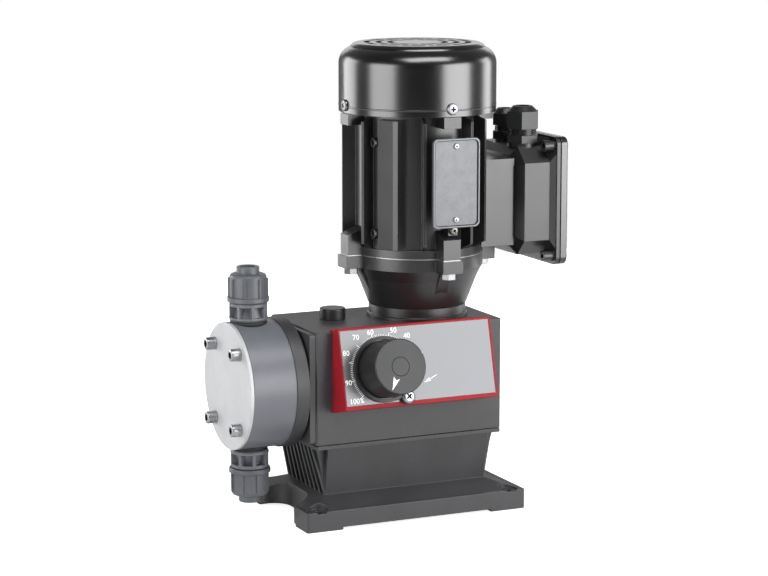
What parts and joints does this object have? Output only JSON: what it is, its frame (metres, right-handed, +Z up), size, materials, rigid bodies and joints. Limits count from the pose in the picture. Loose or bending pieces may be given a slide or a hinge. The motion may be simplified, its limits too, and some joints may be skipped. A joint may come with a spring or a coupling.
{
  "type": "motor-driven diaphragm metering pump",
  "caption": "Diaphragm metering pump: upright finned motor on a worm gear housing, dosing head with ball valves, stroke knob on a tilted panel, ribbed pedestal base.",
  "frame": {"origin": "centre of the four base screws, on the underside of the foot pads", "axes": "+Z up along the motor axis, -X towards the dosing head, +X towards the terminal box, -Y towards the operator's panel"},
  "size_m": [0.2819, 0.1645, 0.3686],
  "materials": {
    "moulded_housing": "textured dark grey moulding",
    "cast_paint": "black paint on die-cast aluminium",
    "cowl_paint": "semi-gloss black powder coat on pressed steel",
    "head_plastic": "machined grey polypropylene",
    "nut_plastic": "moulded dark grey polypropylene",
    "nozzle_plastic": "moulded grey PVDF",
    "seat_plastic": "natural PVDF",
    "cover_plate": "satin anodised",
    "stainless": "bright stainless",
    "zinc_steel": "bright zinc plated",
    "machined_steel": "turned steel",
    "bearing_steel": "ground bearing steel",
    "bronze": "hobbed bronze",
    "brass_screw": "bare brass",
    "ball_ceramic": "polished ceramic",
    "rubber": "moulded black rubber",
    "laminations": "varnished laminations",
    "fan_plastic": "moulded black plastic",
    "bezel_red": "moulded red plastic",
    "label_film": "printed silver grey film",
    "plate_metal": "dark printed aluminium, left bare",
    "knob_plastic": "moulded black plastic"
  },
  "bodies": {
    "pump": {"base_pedestal": "moulded_housing", "housing_gasket": "rubber", "gear_housing": "moulded_housing", "filler_plug": "fan_plastic", "pump_flange": "moulded_housing", "tappet_bush": "bronze", "return_spring": "machined_steel", "diaphragm": "rubber", "head_body": "head_plastic", "head_plate": "cover_plate", "head_screws": "stainless", "head_washers": "stainless", "valve_seats": "seat_plastic", "valve_orings": "rubber", "suction_valve": "head_plastic", "discharge_valve": "head_plastic", "suction_nut": "nut_plastic", "discharge_nut": "nut_plastic", "suction_nozzle": "nozzle_plastic", "discharge_nozzle": "nozzle_plastic", "shaft_bearings": "bearing_steel", "motor_bearings": "bearing_steel", "shaft_seal": "rubber", "bell_adapter": "cast_paint", "adapter_bolts": "zinc_steel", "motor_frame": "cast_paint", "stator": "laminations", "rear_endshield": "cast_paint", "fan_cowl": "cowl_paint", "cowl_screws": "zinc_steel", "name_plate": "plate_metal", "plate_screws": "stainless", "earth_screw": "brass_screw", "terminal_box": "cast_paint", "terminal_block": "fan_plastic", "lid_gasket": "rubber", "terminal_lid": "cowl_paint", "lid_screws": "zinc_steel", "gland_bodies": "fan_plastic", "gland_nuts": "fan_plastic", "gland_seals": "rubber", "bezel": "bezel_red", "dial_label": "label_film", "lock_ring": "knob_plastic"},
    "rotor": {"motor_shaft": "machined_steel", "rotor_core": "laminations", "fan": "fan_plastic"},
    "eccentric": {"eccentric_shaft": "machined_steel", "worm_wheel": "bronze"},
    "tappet": {"tappet": "machined_steel", "diaphragm_core": "machined_steel"},
    "suction_ball": {"suction_ball": "ball_ceramic"},
    "discharge_ball": {"discharge_ball": "ball_ceramic"},
    "knob": {"adjusting_knob": "knob_plastic", "knob_cap": "knob_plastic", "adjusting_spindle": "machined_steel"},
    "locking_screw": {"locking_screw": "stainless"}
  },
  "joints": [
    {"name": "rotor_spin", "type": "hinge", "parent": "pump", "child": "rotor", "pos_m": [0.0275, 0, 0.26], "axis": [0, 0, 1], "continuous": true},
    {"name": "eccentric_spin", "type": "hinge", "parent": "pump", "child": "eccentric", "pos_m": [-0.004, 0, 0.1076], "axis": [0, 1, 0], "continuous": true},
    {"name": "tappet_slide", "type": "slide", "parent": "pump", "child": "tappet", "axis": [-1, 0, 0], "range_m": [0, 0.005], "stiffness_N_per_m": 1500, "springref_m": -0.002, "deforming": ["return_spring", "diaphragm"]},
    {"name": "suction_ball_lift", "type": "slide", "parent": "pump", "child": "suction_ball", "axis": [0, 0, 1], "range_m": [0, 0.002]},
    {"name": "discharge_ball_lift", "type": "slide", "parent": "pump", "child": "discharge_ball", "axis": [0, 0, 1], "range_m": [0, 0.002]},
    {"name": "knob_turn", "type": "hinge", "parent": "pump", "child": "knob", "pos_m": [-0.031, -0.06359, 0.12377], "axis": [0, -0.9681, 0.2504], "range_deg": [-318, 0]},
    {"name": "locking_screw_turn", "type": "hinge", "parent": "pump", "child": "locking_screw", "pos_m": [-0.0142, -0.06922, 0.10198], "axis": [0, -0.9681, 0.2504], "range_deg": [0, 180]}
  ],
  "couplings": [
    {"joint": "eccentric_spin", "follows": "rotor_spin", "ratio": 0.027778}
  ]
}
